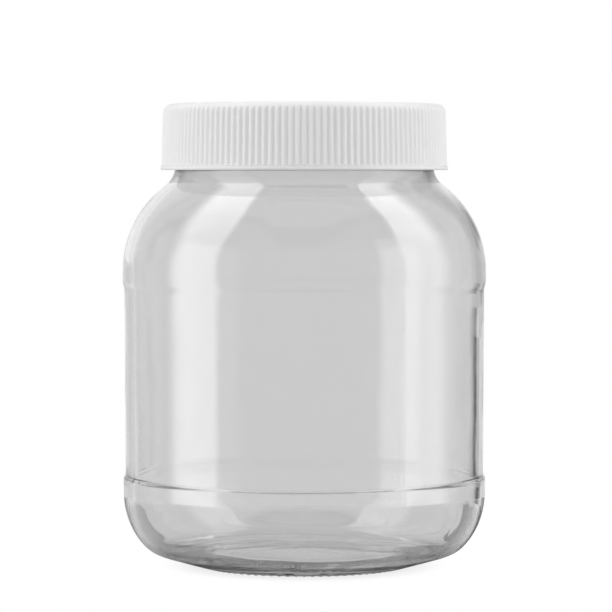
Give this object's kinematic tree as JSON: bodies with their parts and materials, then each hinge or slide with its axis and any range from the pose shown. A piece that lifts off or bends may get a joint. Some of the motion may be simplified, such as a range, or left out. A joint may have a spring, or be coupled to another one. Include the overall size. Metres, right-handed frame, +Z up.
{
  "type": "screw-top glass jar",
  "caption": "Round clear glass jar with a rounded shoulder, recessed label panel and wide neck, closed by a white ribbed screw cap with a sealing liner.",
  "frame": {"origin": "centre of the ring that the jar stands on, on the table", "axes": "+Z up along the jar's axis; X and Y are alike, the jar is round"},
  "size_m": [0.1102, 0.1102, 0.14],
  "materials": {
    "clear_glass": "clear blown soda-lime glass, fire polished",
    "cap_plastic": "white injection-moulded polypropylene, satin",
    "liner_foam": "white closed-cell polyethylene foam, dull"
  },
  "bodies": {
    "jar": {"glass_jar": "clear_glass"},
    "liner": {"cap_liner": "liner_foam"},
    "cap": {"screw_cap": "cap_plastic"}
  },
  "joints": [
    {"name": "cap_turn", "type": "hinge", "parent": "liner", "child": "cap", "pos_m": [0, 0, 0.13], "axis": [0, 0, 1], "range_deg": [0, 360]},
    {"name": "cap_rise", "type": "slide", "parent": "jar", "child": "liner", "axis": [0, 0, 1], "range_m": [0, 0.0192]}
  ],
  "couplings": [
    {"joint": "cap_rise", "follows": "cap_turn", "m_per_rad": 0.0030558}
  ]
}
